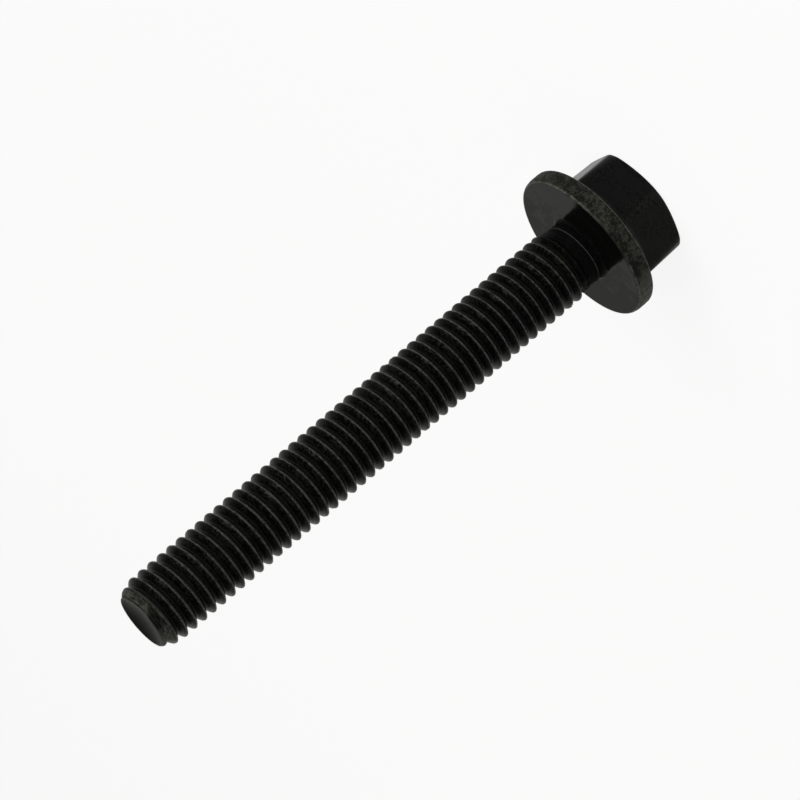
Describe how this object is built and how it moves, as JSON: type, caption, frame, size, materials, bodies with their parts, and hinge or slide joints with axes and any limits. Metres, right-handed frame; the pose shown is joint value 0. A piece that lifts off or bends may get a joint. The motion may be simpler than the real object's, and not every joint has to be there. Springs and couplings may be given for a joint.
{
  "type": "hexagon flange bolt",
  "caption": "Black steel hexagon flange bolt with a full-length right-hand metric thread and a bevelled tip, for clamping parts through a plain hole.",
  "frame": {"origin": "middle of the bearing face under the flange, on the axis of the thread", "axes": "+Z along the shank from the bearing face to the tip, +Y towards a corner of the hexagon, +X across two flats. The bolt stands on its head."},
  "size_m": [0.0171, 0.017, 0.0681],
  "materials": {
    "black_steel": "black oxide, oiled, satin"
  },
  "bodies": {
    "root": {"bolt": "black_steel"}
  },
  "joints": []
}
